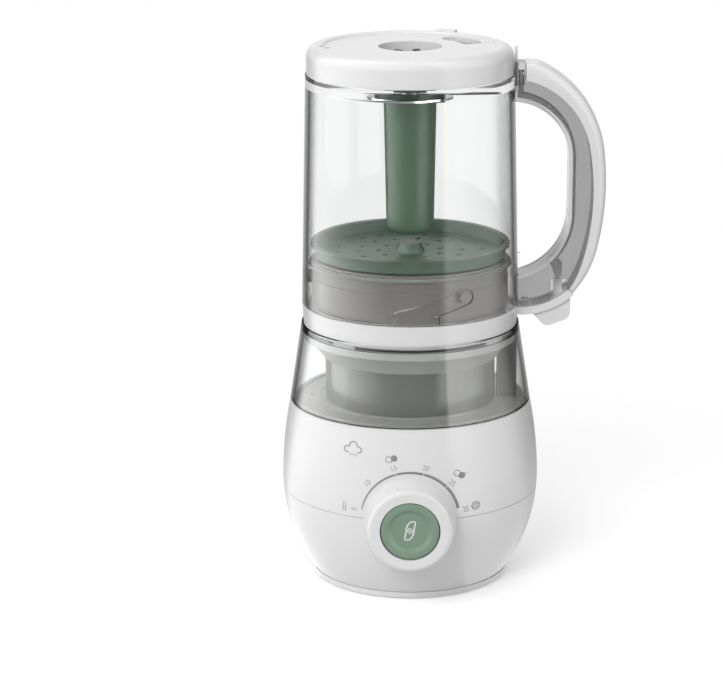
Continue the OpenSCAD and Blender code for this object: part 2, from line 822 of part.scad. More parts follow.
// Grey cup of the lid, hollow towards the base
module lid_plug() {
    wall = 2.2;
    roof_z = plug_top_z - 3;
    color(grey) difference() {
        union() {
            rotate_extrude($fn = 180) polygon([
                [0, roof_z], [plug_r - wall, roof_z], [plug_r - wall, 150], [plug_r, 150], [plug_r, 157.2],
                [59.1, 157.2], [59.1, 159.4], [plug_r, 159.4], [plug_r, 178.9], [plug_r - 0.3, 179.1],
                [plug_r - 0.3, 185.8], [plug_r - 1.4, 185.8], [plug_r - 1.4, 188.3], [plug_r - 0.3, 188.3],
                [plug_r - 0.3, plug_top_z - 0.4], [plug_r - 0.7, plug_top_z], [0, plug_top_z]
            ]);
            // locking lugs
            for (i = [0:2]) rotate([0, 0, lug_az + 120 * i]) translate([plug_r - 1, 0, lug_z])
                rotate([0, 90, 0]) cylinder(r = lug_r, h = 5);
            // socket over the steam nozzle
            polar(steam_az, steam_r) translate([0, 0, 165]) cylinder(r = 7.5, h = roof_z - 165 + 1);
            // ribs inside the cup
            for (i = [0:5]) rotate([0, 0, 30 * (2 * i + 1)]) translate([40, -0.8, roof_z - 6])
                cube([14.6, 1.6, 7]);
        }
        polar(steam_az, steam_r) translate([0, 0, 160]) cylinder(r = 5.6, h = 40);
        // drain holes for the condensate
        for (az = [90, 180, 270]) polar(az, 49) translate([0, 0, 180]) cylinder(r = 2, h = 20);
    }
}

module lid_seal() {
    color([0.75, 0.75, 0.73]) rotate_extrude($fn = 180) polygon([
        [plug_r - 1.4, 186], [plug_r + 0.2, 186], [plug_r + 1.9, 186.6], [plug_r + 1.9, 187.1],
        [plug_r + 0.6, 187.1], [plug_r + 0.6, 188.1], [plug_r - 1.4, 188.1]
    ]);
}

// Green strainer that the food lies on
module steam_tray() {
    rim_z = 198;
    floor_t = 1.8;
    color([0.45, 0.56, 0.48, 0.75]) difference() {
        union() {
            rotate_extrude($fn = 180) polygon([
                [0, plug_top_z], [52.6, plug_top_z], [54.6, plug_top_z + 1], [55.2, rim_z - 1.2],
                [57, rim_z - 1.2], [57, rim_z], [53.6, rim_z], [52.8, plug_top_z + floor_t], [0, plug_top_z + floor_t]
            ]);
            translate([0, 0, plug_top_z + 1]) cylinder(r1 = 9, r2 = 6, h = 6);
        }
        translate([0, 0, plug_top_z - 1]) cylinder(r1 = 7, r2 = 4, h = 6.2);
        for (row = [[18, 9], [30, 14], [42, 20]], i = [0:row[1] - 1])
            polar(i * 360 / row[1] + row[0], row[0]) translate([0, 0, 180]) cylinder(r = 1.7, h = 14);
    }
}

// ---------- jar ----------

// Space that a lug travels in: a mouth in the jar's rim and a ramp up to the locked place.
// The ramp is a straight slot laid across the wall, which follows the helix to within 0.1 mm
// over an arc this short.
module lug_track() {
    slot = lug_r + 0.7;            // half the slot's width
    arc = jar_mouth_r * PI / 180;
    mid = turn_deg / 2 + 5.5;      // degrees from the locked lug to the ramp's middle
    slope = atan(turn_rise / (turn_deg * (jar_mouth_r - jar_wall) * PI / 180));
    climb = turn_rise / turn_deg;
    intersection() {
        ring(jar_mouth_r - 1.3, jar_mouth_r - jar_wall - 4, mouth_z - 1, lug_z + 20);
        union() {
            rotate([0, 0, -mid]) translate([jar_mouth_r - 8, 0, lug_z - mid * climb]) rotate([slope, 0, 0])
                translate([0, -mid * arc, -slot]) cube([20, 2 * mid * arc, 2 * slot]);
            translate([40, 0, lug_z]) rotate([0, 90, 0]) cylinder(r = slot, h = 30);
            rotate([0, 0, -38]) rotate_extrude(angle = 22.6)
                translate([jar_mouth_r - 8, mouth_z - 2]) square([20, lug_z - 8 - mouth_z]);
        }
    }
}

module jar_body() {
    neck_r = 55.8;
    inner_end_r = jar_r(end_in_z) - jar_wall;
    pocket = 0.3;
    color(clear) difference() {
        union() {
            rotate_extrude($fn = 180) difference() {
                union() {
                    polygon([[0, mouth_z], [jar_mouth_r, mouth_z], [jar_end_r, shoulder_z], [0, shoulder_z]]);
                    translate([0, shoulder_z]) square([neck_r, end_out_z + 2.4 - shoulder_z]);
                }
                polygon([
                    [-1, mouth_z - 1], [jar_mouth_r - jar_wall, mouth_z - 1], [jar_mouth_r - jar_wall, mouth_z],
                    [inner_end_r, end_in_z - 6], [inner_end_r - 1.8, end_in_z - 1.8], [inner_end_r - 6, end_in_z],
                    [-1, end_in_z]
                ]);
                translate([-1, end_out_z]) square([neck_r - 1.4, 10]);
            }
            // boss around the spindle's bush
            ring(11, 6, end_out_z - 1, end_out_z + 1);
            // short rib under the handle's foot
            translate([60, -1, 181]) cube([jar_r(181) - 60 + 1.4, 2, 9]);
        }
        translate([0, 0, 250]) cylinder(r = 7.05, h = 100);
        for (i = [0:2]) rotate([0, 0, lug_az + 120 * i]) lug_track();
        // pocket for the safety pin
        translate([58.9 - pocket, -3.2, 283.7]) cube([10, 6.4, 20]);
    }
}

// Region inside a chain of three arcs. The end arcs' circles lie inside the middle one's, so each
// is taken whole, and only the middle one is kept to its stretch.
module inside_curve(curve, inset = 0) {
    z = [join_z(curve, curve[2][1] + arc_lap), join_z(curve, curve[2][0] - arc_lap)];
    for (i = [0, 2]) translate(arc_centre(curve, i)) circle(r = curve[1][i] - inset, $fn = 160);
    intersection() {
        translate(arc_centre(curve, 1)) circle(r = curve[1][1] - inset, $fn = 160);
        translate([30, z[0]]) square([120, z[1] - z[0]]);
    }
}

// The finger opening, grown by a margin
module grip_region(grow = 0) {
    intersection() {
        union() {
            intersection() {
                translate([grip_top[0], grip_top[1]]) circle(r = grip_top[2] + grow, $fn = 180);
                translate([30, grip_top[1]]) square([80, 80]);
            }
            translate([30, grip_low[1]]) square([grip_x - 30 + grow, grip_top[1] - grip_low[1]]);
            intersection() {
                translate([grip_low[0], grip_low[1]]) circle(r = grip_low[2] + grow, $fn = 180);
                translate([30, grip_low[1] - 80]) square([80, 80]);
            }
        }
        translate([30, 100]) square([100, 300]);
    }
}

// Side view of the clear core: everything between the spine and the finger opening
module core_profile() {
    difference() {
        inside_curve(core_curve);
        grip_region();
        translate([0, 290.9]) square([200, 50]);
        difference() {
            translate([0, 100]) square([200, 100.4]);
            translate([tongue[0], tongue[1]]) circle(r = tongue[2] - 0.5, $fn = 180);
        }
        translate([-100, 0]) square([158, 400]);
    }
}

// Outside of the jar, to trim what is joined to it
module jar_outside(gap = 0) {
    translate([0, 0, mouth_z - 3]) cylinder(
        r1 = jar_r(mouth_z - 3) + gap, r2 = jar_r(shoulder_z) + gap, h = shoulder_z - mouth_z + 3
    );
    translate([0, 0, shoulder_z - 1]) cylinder(r = jar_end_r + gap, h = 30);
}

// Clear channel of the handle, open outwards under the white spine
module handle_core() {
    side = 2;
    color(clear) difference() {
        union() {
            in_xz(core_depth) core_profile();
            // guide of the safety pin, beside the cap
            translate([57, -6, 285]) cube([7.6, 12, spine_flat_z - 285]);
        }
        in_xz(core_depth - 2 * side) difference() {
            intersection() {
                inside_curve(core_curve);
                translate([60, 0]) square([200, 290]);
            }
            grip_region(2.2);
        }
        jar_outside();
        // ways in for the lid's finger and stop, from the front and from below
        translate([80.3, -15, 150]) cube([8.8, 18.5, 26.8]);
        translate([62, -15, 150]) cube([7.4, 8, 14.4]);
        // way of the safety pin, its collar and its spring
        translate([50, -3.2, 283.7]) cube([11, 6.4, 30]);
        translate([55, -3.2, 283.7]) cube([10, 6.4, 5.6]);
        translate([62.6, 0, 283.7]) cylinder(r = 1.75, h = 12.4);
    }
}

// Inside of a chain of arcs as a slab with rounded edges: the outline is convex, so slices of it
// that widen as they get shallower make up the whole round
module rounded_slab(curve, depth, round) {
    steps = 5;
    hull() for (i = [0:steps]) {
        a = 90 * i / steps;
        in_xz(depth - 2 * round * (1 - sin(a))) intersection() {
            inside_curve(curve, round * (1 - cos(a)));
            translate([60, 140]) square([60, 170]);
        }
    }
}

// White spine of the handle: the rounded outside follows the three arcs
module handle_spine() {
    round = 6;
    cut = tongue_end + 0.7;
    color(white) difference() {
        intersection() {
            rounded_slab(spine_curve, spine_depth, round);
            in_xz(spine_depth + 2) difference() {
                translate([65, 150]) square([60, spine_flat_z - 150]);
                inside_curve(core_curve, -0.05);
                // foot, cut square to the curve
                polygon([
                    [tongue[0], tongue[1]],
                    [tongue[0] + 90 * cos(cut), tongue[1] + 90 * sin(cut)],
                    [tongue[0], tongue[1] - 120]
                ]);
            }
        }
        // hollow that the core's channel continues into
        in_xz(spine_depth - 7) difference() {
            inside_curve(spine_curve, 2.6);
            inside_curve(core_curve, -0.3);
            translate([0, 286]) square([200, 50]);
            translate([0, 0]) square([200, 184]);
        }
    }
}

// Strip that carries the finger's push round the handle to the safety pin
module interlock_band() {
    color([0.9, 0.9, 0.9]) difference() {
        union() {
            in_xz(8) difference() {
                grip_region(4.2);
                grip_region(2.8);
                translate([0, 0]) square([61.2, 400]);
                translate([0, 0]) square([80, 230]);
            }
            // foot that the lid's finger lifts
            in_xz(7) polygon([[80.6, 184.6], [83.2, 188], [87, 184], [87, 177], [82.6, 177]]);
            // end that stands under the safety pin
            in_xz(6) translate([61.2, 282.4]) square([2.8, pin_low_z - 282.5]);
        }
        jar_outside(0.2);
    }
}

// ---------- cap, pin and blades ----------

// White cap on the jar's closed end, with the well that the drive enters
module end_cap() {
    cap_r = 58.6;
    round = 6.5;
    wall = 2.4;
    low_z = shoulder_z + 0.3;
    well_wall = 2.2;
    module outline(inset) {
        translate([0, low_z - 1]) square([cap_r - inset, total_h - round - low_z + 1]);
        translate([0, total_h - round]) intersection() {
            union() {
                square([cap_r - round, round - inset]);
                translate([cap_r - round, 0]) circle(r = round - inset, $fn = 96);
            }
            square([100, 100]);
        }
    }
    color(white) difference() {
        union() {
            rotate_extrude($fn = 180) difference() {
                intersection() {
                    outline(0);
                    translate([0, low_z]) square([100, 100]);
                }
                difference() {
                    outline(wall);
                    square([cap_hole_r + well_wall, 400]);
                    translate([0, total_h - wall - 1.4]) square([50.5, 20]);
                }
            }
            // lug on the back of the rim
            rotate([0, 0, 68]) translate([54, -6, total_h - 6]) cube([4.2, 12, 6.6]);
        }
        cylinder(r = cap_hole_r, h = 400);
        translate([0, 0, low_z - 2]) cylinder(r = cap_hole_r + 3, h = end_out_z + 3 - low_z);
        // shallow dish of the top
        translate([0, 0, total_h - 1]) cylinder(r1 = 48, r2 = 49.4, h = 1.1);
        // slot that goes over the steam nozzle
        rotate([0, 0, -steam_az - 14]) rotate_extrude(angle = 28) translate([steam_r - 6.2, 290])
            square([12.4, 40]);
        for (a = [-14, 14]) polar(-steam_az + a, steam_r) translate([0, 0, 290]) cylinder(r = 6.2, h = 40);
        // thumb notch
        polar(188, 48.5) translate([0, 0, 290]) cylinder(r = 3.2, h = 40);
    }
}

module interlock_pin() {
    color([0.9, 0.91, 0.91]) {
        translate([58.95, -2.4, pin_low_z]) cube([1.5, 4.8, 309 - pin_low_z]);
        translate([58.95, -2.4, pin_low_z]) cube([5.5, 4.8, 1.5]);
    }
}

module pin_spring() {
    color(steel) translate([62.6, 0, 0]) coil(1.2, 0.4, pin_low_z + 1.55, 296, 6);
}

module spindle_bush() {
    color([0.85, 0.85, 0.83]) difference() {
        union() {
            translate([0, 0, end_in_z - 1.6]) cylinder(r = 7, h = 8);
            translate([0, 0, end_out_z + 1.05]) cylinder(r = 9.5, h = 3);
        }
        translate([0, 0, 250]) cylinder(r = shaft_r + 0.05, h = 100);
    }
}

module blade_spindle() {
    color(steel) translate([0, 0, 268]) cylinder(r = shaft_r, h = 36);
}

module blade_coupling() {
    z = end_out_z + 5;
    color(dark) difference() {
        union() {
            translate([0, 0, z]) cylinder(r = 13, h = 1.8);
            translate([0, 0, z]) cylinder(r = 6, h = 4.6);
            for (i = [0:5]) rotate([0, 0, i * 60 + 10]) translate([8.4, -1.6, z]) cube([4, 3.2, 5.6]);
        }
        translate([0, 0, z - 1]) cylinder(r = shaft_r, h = 5);
    }
}

// Tall hub that stands in the food, open at the drive end
module blade_hub() {
    wall = 2;
    low_r = hub_r - 1.4;
    round = 4;
    top_z = end_in_z - 2.2;
    color(green) difference() {
        rotate_extrude() difference() {
            union() {
                polygon([
                    [0, hub_low_z + round], [low_r, hub_low_z + round], [hub_r, 278], [hub_r, top_z - 3.6],
                    [20, top_z - 1.6], [20, top_z], [0, top_z]
                ]);
                translate([0, hub_low_z]) square([low_r - round, round + 1]);
                intersection() {
                    translate([low_r - round, hub_low_z + round]) circle(r = round, $fn = 64);
                    square([100, 400]);
                }
            }
            polygon([
                [-1, hub_low_z + round + wall], [low_r - wall, hub_low_z + round + wall],
                [hub_r - wall, 268], [-1, 268]
            ]);
            translate([-1, 282]) square([9.6, 20]);
        }
        translate([0, 0, 250]) cylinder(r = shaft_r, h = 60);
    }
}

// Two sickle blades on one ring: each is the crescent between two circles
module blades() {
    t = 1.2;
    color(steel) translate([0, 0, blade_z]) {
        ring(18.5, hub_r, -t / 2, t / 2);
        for (turn = [0, 180]) rotate([0, 0, turn]) translate([0, 0, -t / 2]) linear_extrude(t)
            intersection() {
                difference() {
                    translate([-9, 12.8]) circle(r = 35.8, $fn = 180);
                    translate([-12.5, 20.5]) circle(r = 38.3, $fn = 180);
                    circle(r = hub_r + 1);
                }
                translate([-45, -30]) square([53, 24.5]);
            }
    }
}

foot_ring();
base_plate();
lower_shell();
upper_shell();
tank_gasket();
tank_floor();
tank_shell();
seat_collar();
core_tower();
interlock_duct();
steam_nozzle();
steam_pipe();
heater_block();
heater_element();
thermostats();
water_hose();
motor_plate();
motor_dampers();
motor_brackets();
motor_bearings();
stator_core();
field_coils();
brush_holders();
shaft_seal();
control_board();
board_bracket();
encoder_body();
blend_switch();
interlock_switch();
cord_grommet();
terminal_block();
base_screws();
rotor_shaft();
rotor_core();
commutator();
cooling_fan();
drive_coupling();
knob_ring();
knob_sleeve();
blend_button();
button_plunger();
button_spring();
interlock_rod();
rod_spring();
lid_ring();
lid_plug();
lid_seal();
steam_tray();
spindle_bush();
jar_body();
handle_core();
handle_spine();
end_cap();
interlock_band();
interlock_pin();
pin_spring();
blade_hub();
blades();
blade_spindle();
blade_coupling();
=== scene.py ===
import json
import math
import bpy
import bmesh
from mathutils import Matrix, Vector
from mathutils.bvhtree import BVHTree


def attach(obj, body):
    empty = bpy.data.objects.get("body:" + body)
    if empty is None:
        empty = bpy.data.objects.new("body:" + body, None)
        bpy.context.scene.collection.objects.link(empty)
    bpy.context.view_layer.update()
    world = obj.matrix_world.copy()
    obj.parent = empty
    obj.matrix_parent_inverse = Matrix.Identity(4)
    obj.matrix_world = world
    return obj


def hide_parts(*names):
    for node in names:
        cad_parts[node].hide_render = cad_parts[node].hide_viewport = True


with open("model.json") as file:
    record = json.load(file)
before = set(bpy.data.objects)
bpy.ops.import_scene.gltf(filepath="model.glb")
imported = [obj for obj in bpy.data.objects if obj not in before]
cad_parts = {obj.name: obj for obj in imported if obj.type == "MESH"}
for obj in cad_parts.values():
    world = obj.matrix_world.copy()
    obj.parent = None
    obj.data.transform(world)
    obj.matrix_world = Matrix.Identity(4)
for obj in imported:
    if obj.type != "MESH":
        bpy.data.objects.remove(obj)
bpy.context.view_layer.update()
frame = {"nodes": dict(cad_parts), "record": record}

nodes = frame["nodes"]
scene = bpy.context.scene
MM = 0.001

# ---------------------------------------------------------------- camera

cam_data = bpy.data.cameras.new("camera")
cam_data.sensor_width = 36
cam_data.lens = 131.1
cam_data.shift_x = -0.0672
cam = bpy.data.objects.new("camera", cam_data)
cam.location = (0, -1.470, 0.538)
cam.rotation_euler = (math.radians(74.57), 0, 0)
scene.collection.objects.link(cam)
scene.camera = cam

# ---------------------------------------------------------------- lamps

scene.view_settings.view_transform = "Standard"

LAMPS_AIM = Vector((0, 0, 0.15))       # the middle of the object


def light(name, azimuth, height, width, length, power, reach=1.25):
    """A softbox around the object: azimuth 0 is in front, 90 to the right."""
    data = bpy.data.lights.new(name, "AREA")
    data.shape = "RECTANGLE"
    data.size = width
    data.size_y = length
    data.energy = power
    a = math.radians(azimuth)
    spot = Vector((reach * math.sin(a), -reach * math.cos(a), height))
    o = bpy.data.objects.new(name, data)
    o.location = spot
    o.rotation_euler = (LAMPS_AIM - spot).to_track_quat("-Z", "Z").to_euler()
    o.visible_camera = False
    o.visible_glossy = False
    scene.collection.objects.link(o)


light("softbox_left", -85, 0.5, 1.2, 1.1, 4.2)
light("softbox_right", 60, 0.5, 0.9, 1.0, 2.4)
light("front", -22, 1.1, 0.9, 0.8, 15.5, reach=1.5)
light("overhead", 180, 1.6, 1.2, 1.2, 5, reach=0.2)

# ---------------------------------------------------------------- node helpers

MIX_A, MIX_B, MIX_RESULT = 6, 7, 2     # a Mix node's sockets for colours


def grey(value):
    return (value, value, value, 1)


def feed(tree, socket, value):
    """Sets an input to a constant, or links it where value is another node's output."""
    if isinstance(value, bpy.types.NodeSocket):
        tree.links.new(value, socket)
    else:
        socket.default_value = value


def math_node(tree, operation, *values):
    """A Math node: each value is a number or a socket."""
    n = tree.nodes.new("ShaderNodeMath")
    n.operation = operation
    for socket, value in zip(n.inputs, values):
        feed(tree, socket, value)
    return n.outputs[0]


def mixed_color(tree, first, second, factor, blend_type="MIX"):
    """A Mix node for colours: each value is a constant or a socket."""
    n = tree.nodes.new("ShaderNodeMix")
    n.data_type = "RGBA"
    n.blend_type = blend_type
    feed(tree, n.inputs["Factor"], factor)
    feed(tree, n.inputs[MIX_A], first)
    feed(tree, n.inputs[MIX_B], second)
    return n.outputs[MIX_RESULT]


def grey_ramp(tree, factor, stops):
    """A ramp of greys from stops of place, 0 to 1, and value."""
    n = tree.nodes.new("ShaderNodeValToRGB")
    tree.links.new(factor, n.inputs[0])
    elements = n.color_ramp.elements
    while len(elements) < len(stops):
        elements.new(0.5)
    for element, (spot, value) in zip(elements, stops):
        element.position = spot
        element.color = grey(value)
    return n.outputs[0]


def ray_kinds(tree):
    """Two factors: the ray shows its target, directly, mirrored or through clear plastic,
    and the ray was mirrored on the way."""
    path = tree.nodes.new("ShaderNodeLightPath")
    shows = math_node(tree, "ADD", path.outputs["Is Camera Ray"], path.outputs["Is Glossy Ray"])
    shows = math_node(tree, "ADD", shows, path.outputs["Is Transmission Ray"])
    shows = math_node(tree, "MINIMUM", shows, 1)
    lights = math_node(tree, "MINIMUM", path.outputs["Diffuse Depth"], 1)
    shows = math_node(tree, "MULTIPLY", shows, math_node(tree, "SUBTRACT", 1, lights))
    mirrored = math_node(tree, "MINIMUM", path.outputs["Glossy Depth"], 1)
    return shows, math_node(tree, "MULTIPLY", shows, mirrored)


# ---------------------------------------------------------------- studio

# What a mirror shows of the studio, as azimuth and brightness, where 1 is white. The softboxes
# stand left and right, the right one with a sharp edge, and dark flags stand behind them.
STUDIO = [
    (-180, 1.0), (-160, 0.5), (-145, 0.1), (-132, 0.1), (-120, 2.6), (-100, 3.6), (-75, 3.0),
    (-50, 1.6), (-24, 0.5), (35, 0.45), (38, 3.2), (95, 1.8), (118, 0.15), (145, 0.1), (180, 1.0)]
STUDIO_MAX = max(value for _, value in STUDIO)
AMBIENT = 0.38                         # the world's light on the object


def surroundings(tree, direction):
    """What a mirror shows in a direction, as a socket."""
    parts = tree.nodes.new("ShaderNodeSeparateXYZ")
    tree.links.new(direction, parts.inputs[0])
    front = math_node(tree, "MULTIPLY", parts.outputs["Y"], -1)
    angle = math_node(tree, "ARCTAN2", parts.outputs["X"], front)
    turn = math_node(tree, "MULTIPLY_ADD", angle, 1 / (2 * math.pi), 0.5)
    stops = [((azimuth + 180) / 360, value / STUDIO_MAX) for azimuth, value in STUDIO]
    return math_node(tree, "MULTIPLY", grey_ramp(tree, turn, stops), STUDIO_MAX)


def shown_strength(tree, direction, shown, else_lit):
    """shown where a ray shows its target, scaled by the studio in a mirror, and else_lit for
    other rays."""
    shows, mirrored = ray_kinds(tree)
    dim = math_node(tree, "SUBTRACT", 1, surroundings(tree, direction))
    keep = math_node(tree, "SUBTRACT", 1, math_node(tree, "MULTIPLY", dim, mirrored))
    white = math_node(tree, "MULTIPLY", math_node(tree, "MULTIPLY", shows, keep), shown)
    rest = math_node(tree, "MULTIPLY", math_node(tree, "SUBTRACT", 1, shows), else_lit)
    return math_node(tree, "ADD", white, rest)


world = bpy.data.worlds.new("studio")
scene.world = world
world.use_nodes = True
world.cycles.sampling_method = "NONE"
world_tree = world.node_tree
background = world_tree.nodes["Background"]
background.inputs["Color"].default_value = grey(1)
sky = world_tree.nodes.new("ShaderNodeTexCoord").outputs["Generated"]
world_tree.links.new(shown_strength(world_tree, sky, 1, AMBIENT), background.inputs["Strength"])

# ---------------------------------------------------------------- floor

FLOOR = 0.90                           # albedo where the floor is shown
BOUNCE = 0.70                          # albedo for the light that it returns to the object
GLOW = 0.32                            # added where the floor is shown, so that it is white
FADE_FROM, FADE_TO = 0.12, 0.40        # distances over which it turns to plain white
FLOOR_SIZE = 8
FLOOR_Z = -0.0002


def emission(tree, strength):
    n = tree.nodes.new("ShaderNodeEmission")
    tree.links.new(strength, n.inputs["Strength"])
    return n.outputs[0]


def floor_material():
    """A white floor that keeps the object's shadow and is plain white further out."""
    m = bpy.data.materials.new("floor")
    m.use_nodes = True
    t = m.node_tree
    t.nodes.clear()
    spot = t.nodes.new("ShaderNodeTexCoord").outputs["Object"]

    diffuse = t.nodes.new("ShaderNodeBsdfDiffuse")
    shows, _ = ray_kinds(t)
    albedo = math_node(t, "MULTIPLY_ADD", shows, FLOOR - BOUNCE, BOUNCE)
    t.links.new(albedo, diffuse.inputs["Color"])
    near = t.nodes.new("ShaderNodeAddShader")
    t.links.new(diffuse.outputs[0], near.inputs[0])
    t.links.new(emission(t, shown_strength(t, spot, GLOW, 0)), near.inputs[1])
    far = emission(t, shown_strength(t, spot, 1, AMBIENT))

    distance = t.nodes.new("ShaderNodeVectorMath")
    distance.operation = "LENGTH"
    t.links.new(spot, distance.inputs[0])
    fade = t.nodes.new("ShaderNodeMapRange")
    fade.inputs["From Min"].default_value = FADE_FROM
    fade.inputs["From Max"].default_value = FADE_TO
    t.links.new(distance.outputs["Value"], fade.inputs["Value"])

    blend = t.nodes.new("ShaderNodeMixShader")
    for socket, value in zip(blend.inputs, (fade.outputs["Result"], near.outputs[0], far)):
        t.links.new(value, socket)
    out = t.nodes.new("ShaderNodeOutputMaterial")
    t.links.new(blend.outputs[0], out.inputs["Surface"])
    return m


bpy.ops.mesh.primitive_plane_add(size=FLOOR_SIZE, location=(0, 0, FLOOR_Z))
floor = bpy.context.object
floor.name = "floor"
floor.data.materials.append(floor_material())

# ---------------------------------------------------------------- materials

# Painted shade: clear plastics darken their colour towards a grazing slant, at these facings.
EDGE_SHADE_FACINGS = (0, 0.4, 0.7, 1)       # 0 is seen straight on, 1 at a grazing slant
DRIFT_SCALE = 14                       # of the slow drift of tone
BUMP_DEPTH = 0.0004
SCATTER = (0.004, 0.004, 0.004)


def plastic(name, color, rough, grain=900, bump=0.03, vary=0.02, trans=0.0, ior=1.46, metal=0.0,
            sss=0.0, stretch=(1, 1, 1), painted_edge_shade=None, mirror=1.0):
    """A moulded or metal finish: fine grain in bump and roughness, and a slow drift of tone.
    painted_edge_shade paints shade onto clear plastic at a slant, standing in for the darker
    edges that refraction shows, as shades at the facings set above, and mirror scales what it
    reflects straight on."""
    m = bpy.data.materials.new(name)
    m.use_nodes = True
    t = m.node_tree
    shader = t.nodes["Principled BSDF"]
    shader.inputs["Metallic"].default_value = metal
    shader.inputs["IOR"].default_value = ior
    shader.inputs["Transmission Weight"].default_value = trans
    shader.inputs["Specular Tint"].default_value = grey(mirror)
    if sss:
        shader.inputs["Subsurface Weight"].default_value = sss
        shader.inputs["Subsurface Radius"].default_value = SCATTER

    coordinates = t.nodes.new("ShaderNodeTexCoord").outputs["Object"]
    mapping = t.nodes.new("ShaderNodeMapping")
    mapping.inputs["Scale"].default_value = stretch
    t.links.new(coordinates, mapping.inputs["Vector"])
    fine = t.nodes.new("ShaderNodeTexNoise")
    fine.inputs["Scale"].default_value = grain
    fine.inputs["Detail"].default_value = 3
    t.links.new(mapping.outputs[0], fine.inputs["Vector"])
    slow = t.nodes.new("ShaderNodeTexNoise")
    slow.inputs["Scale"].default_value = DRIFT_SCALE
    slow.inputs["Detail"].default_value = 2
    t.links.new(coordinates, slow.inputs["Vector"])

    low = [max(0, c * (1 - vary)) for c in color]
    high = [min(1, c * (1 + vary)) for c in color]
    tone = mixed_color(t, (*low, 1), (*high, 1), slow.outputs["Fac"])
    # Painted shade: the colour of clear plastic darkens at a slant, standing in for the dark
    # edges that refraction shows.
    if painted_edge_shade:
        slant = t.nodes.new("ShaderNodeLayerWeight")
        slant.inputs["Blend"].default_value = 0.5
        shade = grey_ramp(t, slant.outputs["Facing"], list(zip(EDGE_SHADE_FACINGS, painted_edge_shade)))
        tone = mixed_color(t, tone, shade, 1, "MULTIPLY")
    t.links.new(tone, shader.inputs["Base Color"])

    roughness = t.nodes.new("ShaderNodeMapRange")
    roughness.inputs["To Min"].default_value = rough * 0.85
    roughness.inputs["To Max"].default_value = rough * 1.15
    t.links.new(fine.outputs["Fac"], roughness.inputs["Value"])
    t.links.new(roughness.outputs["Result"], shader.inputs["Roughness"])
    if bump:
        relief = t.nodes.new("ShaderNodeBump")
        relief.inputs["Strength"].default_value = bump
        relief.inputs["Distance"].default_value = BUMP_DEPTH
        t.links.new(fine.outputs["Fac"], relief.inputs["Height"])
        t.links.new(relief.outputs["Normal"], shader.inputs["Normal"])
    return m


CLEAR = dict(bump=0.0, vary=0.004, trans=1.0)
METAL = dict(metal=1.0)
FINISHES = {
    # the record's material slots
    "white_abs": dict(color=(0.80, 0.80, 0.80), rough=0.22, bump=0.02, vary=0.006),
    "inner_white": dict(color=(0.76, 0.76, 0.75), rough=0.42, bump=0.05),
    # The last shades of clear_jar and clear_tank are painted shade at their edges.
    "clear_jar": dict(CLEAR, color=(0.97, 0.975, 0.975), rough=0.03, ior=1.4,
                      painted_edge_shade=(0.97, 0.86, 0.76, 0.60), mirror=0.5),
    "clear_tank": dict(CLEAR, color=(0.95, 0.96, 0.955), rough=0.035, ior=1.45,
                       painted_edge_shade=(0.98, 0.94, 0.86, 0.60), mirror=0.9),
    "frosted_collar": dict(color=(0.92, 0.92, 0.91), rough=0.25, bump=0.02, trans=0.1),
    "floor_grey": dict(color=(0.58, 0.58, 0.54), rough=0.30, bump=0.02),
    "lid_grey": dict(color=(0.36, 0.34, 0.32), rough=0.18, bump=0.004),
    "tower_grey": dict(color=(0.26, 0.262, 0.24), rough=0.18, bump=0.01, ior=1.65),
    "hub_green": dict(color=(0.138, 0.24, 0.155), rough=0.30, bump=0.05),
    "button_green": dict(color=(0.215, 0.315, 0.235), rough=0.30, bump=0.01),
    "tray_green": dict(color=(0.22, 0.33, 0.25), rough=0.35, bump=0.04, trans=0.25),
    "black_rubber": dict(color=(0.03, 0.03, 0.03), rough=0.6, bump=0.1),
    "silicone": dict(color=(0.55, 0.56, 0.55), rough=0.5, bump=0.06, sss=0.1),
    "dark_nylon": dict(color=(0.03, 0.03, 0.032), rough=0.45, bump=0.08),
    "beige_plastic": dict(color=(0.72, 0.68, 0.58), rough=0.45, bump=0.06),
    "board_green": dict(color=(0.03, 0.11, 0.05), rough=0.35, bump=0.04),
    "steel": dict(METAL, color=(0.56, 0.57, 0.58), rough=0.28, grain=500, bump=0.04,
                  stretch=(1, 1, 30)),
    "blade_steel": dict(METAL, color=(0.66, 0.67, 0.68), rough=0.16, grain=700, bump=0.03,
                        stretch=(1, 12, 1)),
    "lamination_steel": dict(METAL, color=(0.22, 0.22, 0.23), rough=0.4, grain=120, bump=0.2,
                             stretch=(0.2, 0.2, 20)),
    "cast_aluminium": dict(METAL, color=(0.60, 0.60, 0.60), rough=0.5, grain=400, bump=0.2),
    "copper": dict(METAL, color=(0.72, 0.36, 0.19), rough=0.32, grain=250, bump=0.15,
                   stretch=(6, 6, 1)),
    "brass_sheet": dict(METAL, color=(0.72, 0.53, 0.24), rough=0.3, grain=400, bump=0.05),
    # pieces that look different from the rest of their slot
    # clear_handle's last shades are painted shade at its edges, down to 0.3.
    "clear_handle": dict(color=(0.66, 0.66, 0.66), rough=0.05, bump=0.0, trans=0.93, ior=1.4,
                         painted_edge_shade=(1.0, 0.92, 0.7, 0.3)),
    "gasket_grey": dict(color=(0.60, 0.60, 0.60), rough=0.5, bump=0.06),
    "duct_grey": dict(color=(0.34, 0.345, 0.32), rough=0.25, trans=0.3),
    "clear_end": dict(CLEAR, color=(0.97, 0.97, 0.97), rough=0.05, ior=1.06, mirror=0.5),
    # print
    "ink": dict(color=(0.27, 0.27, 0.27), rough=0.5, bump=0.02, vary=0.05),
    "ink_pale": dict(color=(0.42, 0.42, 0.42), rough=0.5, bump=0.02, vary=0.05),
    "ink_white": dict(color=(0.80, 0.82, 0.80), rough=0.4, bump=0.02),
}
M = {name: plastic(name, **finish) for name, finish in FINISHES.items()}

OWN_FINISH = {"handle_core": "clear_handle", "tank_gasket": "gasket_grey",
              "interlock_duct": "duct_grey"}
slot_of = {s["node"]: s["material_slot"] for s in frame["record"]["subparts"]}
for name, o in nodes.items():
    o.data.materials.clear()
    o.data.materials.append(M[OWN_FINISH.get(name, slot_of[name])])

